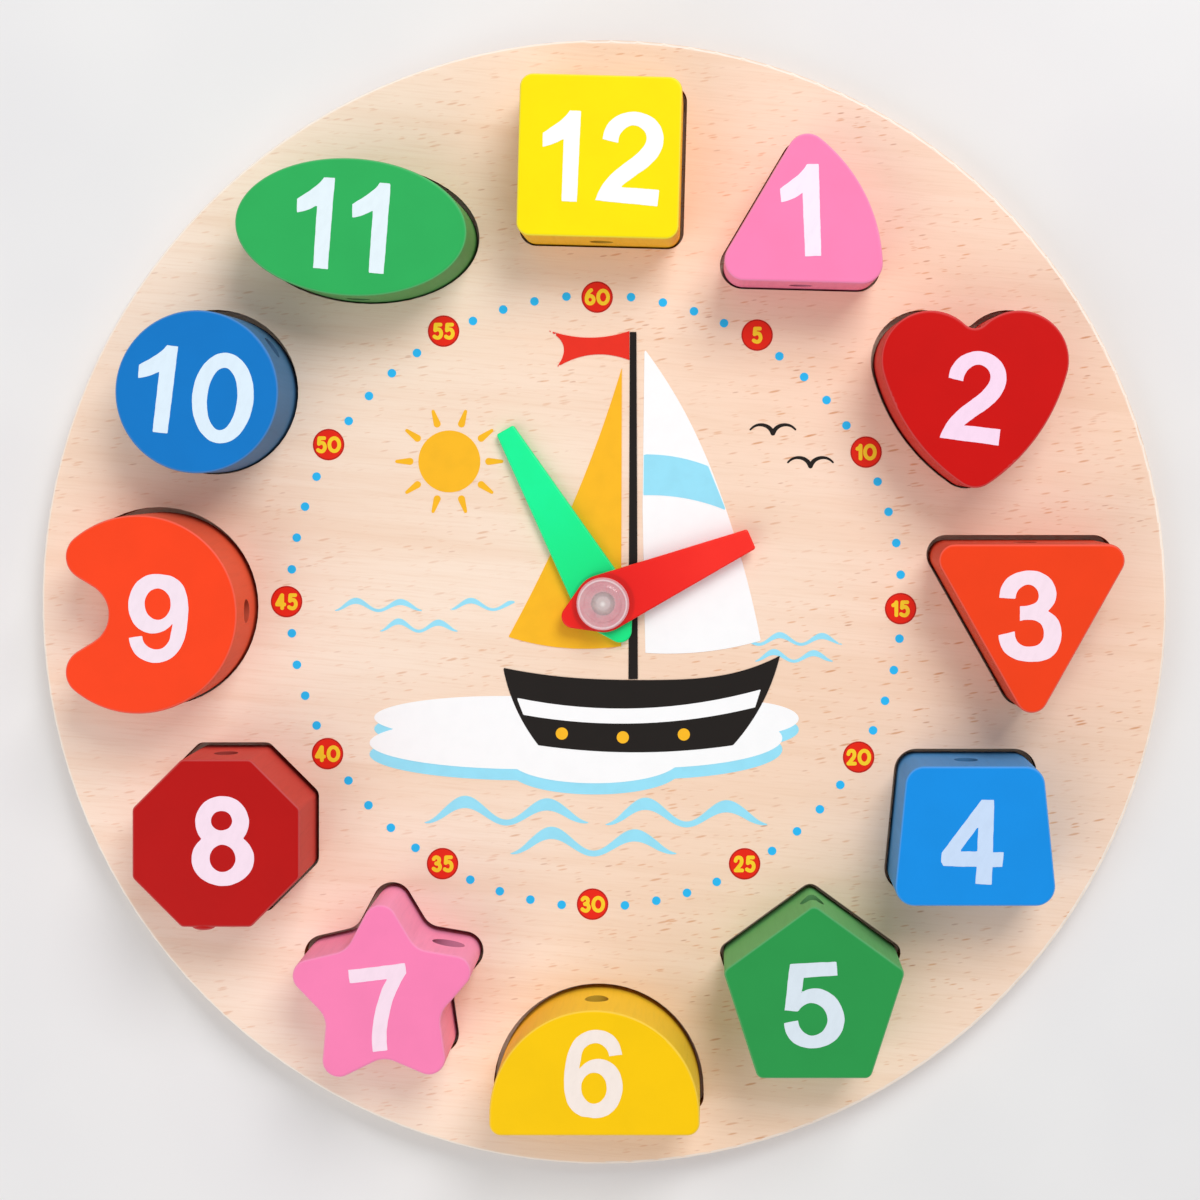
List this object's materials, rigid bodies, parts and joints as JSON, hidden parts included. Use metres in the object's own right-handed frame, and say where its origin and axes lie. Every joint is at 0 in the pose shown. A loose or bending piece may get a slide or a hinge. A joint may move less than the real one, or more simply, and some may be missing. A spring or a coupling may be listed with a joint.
{
  "type": "shape-sorting teaching clock",
  "caption": "Round wooden teaching clock: loose numbered blocks stand in shaped pockets round the rim, and an hour hand and a minute hand turn by finger on a snap rivet.",
  "frame": {"origin": "middle of the board's flat back", "axes": "+Z is the way the dial faces, square to the board; +Y is towards twelve o'clock; +X is towards three o'clock. The clock lies on its back"},
  "size_m": [0.24, 0.24, 0.0245],
  "materials": {
    "beech": "natural beech, sanded smooth and thinly lacquered, fine grain with short brown flecks",
    "paint_pink": "wood under satin pink paint",
    "paint_dark_red": "wood under satin dark red paint",
    "paint_orange_red": "wood under satin orange-red paint",
    "paint_light_blue": "wood under satin light blue paint",
    "paint_mid_blue": "wood under satin mid blue paint",
    "paint_green": "wood under satin green paint",
    "paint_warm_yellow": "wood under satin warm yellow paint",
    "paint_lemon": "wood under satin lemon yellow paint",
    "green_plastic": "moulded plastic, slightly translucent, soft sheen",
    "red_plastic": "moulded plastic, soft sheen",
    "clear_plastic": "clear moulded plastic, slightly milky, glossy"
  },
  "bodies": {
    "board": {"backing_board": "beech", "face_board": "beech", "hub_rivet": "clear_plastic", "rivet_cap": "clear_plastic"},
    "minute_hand": {"minute_hand": "green_plastic"},
    "hour_hand": {"hour_hand": "red_plastic"},
    "bowed_triangle_block_1": {"bowed_triangle_block_1": "paint_pink"},
    "heart_block_2": {"heart_block_2": "paint_dark_red"},
    "triangle_block_3": {"triangle_block_3": "paint_orange_red"},
    "trapezoid_block_4": {"trapezoid_block_4": "paint_light_blue"},
    "pentagon_block_5": {"pentagon_block_5": "paint_green"},
    "arch_block_6": {"arch_block_6": "paint_warm_yellow"},
    "star_block_7": {"star_block_7": "paint_pink"},
    "octagon_block_8": {"octagon_block_8": "paint_dark_red"},
    "bitten_disc_block_9": {"bitten_disc_block_9": "paint_orange_red"},
    "disc_block_10": {"disc_block_10": "paint_mid_blue"},
    "oval_block_11": {"oval_block_11": "paint_green"},
    "square_block_12": {"square_block_12": "paint_lemon"}
  },
  "joints": [
    {"name": "minute_hand_turn", "type": "hinge", "parent": "board", "child": "minute_hand", "pos_m": [0, 0, 0.0083], "axis": [0, 0, 1], "continuous": true},
    {"name": "hour_hand_turn", "type": "hinge", "parent": "board", "child": "hour_hand", "pos_m": [0, 0, 0.0105], "axis": [0, 0, 1], "continuous": true},
    {"name": "bowed_triangle_block_1_lift", "type": "slide", "parent": "board", "child": "bowed_triangle_block_1", "axis": [0, 0, 1], "range_m": [0, 0.03]},
    {"name": "heart_block_2_lift", "type": "slide", "parent": "board", "child": "heart_block_2", "axis": [0, 0, 1], "range_m": [0, 0.03]},
    {"name": "triangle_block_3_lift", "type": "slide", "parent": "board", "child": "triangle_block_3", "axis": [0, 0, 1], "range_m": [0, 0.03]},
    {"name": "trapezoid_block_4_lift", "type": "slide", "parent": "board", "child": "trapezoid_block_4", "axis": [0, 0, 1], "range_m": [0, 0.03]},
    {"name": "pentagon_block_5_lift", "type": "slide", "parent": "board", "child": "pentagon_block_5", "axis": [0, 0, 1], "range_m": [0, 0.03]},
    {"name": "arch_block_6_lift", "type": "slide", "parent": "board", "child": "arch_block_6", "axis": [0, 0, 1], "range_m": [0, 0.03]},
    {"name": "star_block_7_lift", "type": "slide", "parent": "board", "child": "star_block_7", "axis": [0, 0, 1], "range_m": [0, 0.03]},
    {"name": "octagon_block_8_lift", "type": "slide", "parent": "board", "child": "octagon_block_8", "axis": [0, 0, 1], "range_m": [0, 0.03]},
    {"name": "bitten_disc_block_9_lift", "type": "slide", "parent": "board", "child": "bitten_disc_block_9", "axis": [0, 0, 1], "range_m": [0, 0.03]},
    {"name": "disc_block_10_lift", "type": "slide", "parent": "board", "child": "disc_block_10", "axis": [0, 0, 1], "range_m": [0, 0.03]},
    {"name": "oval_block_11_lift", "type": "slide", "parent": "board", "child": "oval_block_11", "axis": [0, 0, 1], "range_m": [0, 0.03]},
    {"name": "square_block_12_lift", "type": "slide", "parent": "board", "child": "square_block_12", "axis": [0, 0, 1], "range_m": [0, 0.03]}
  ]
}
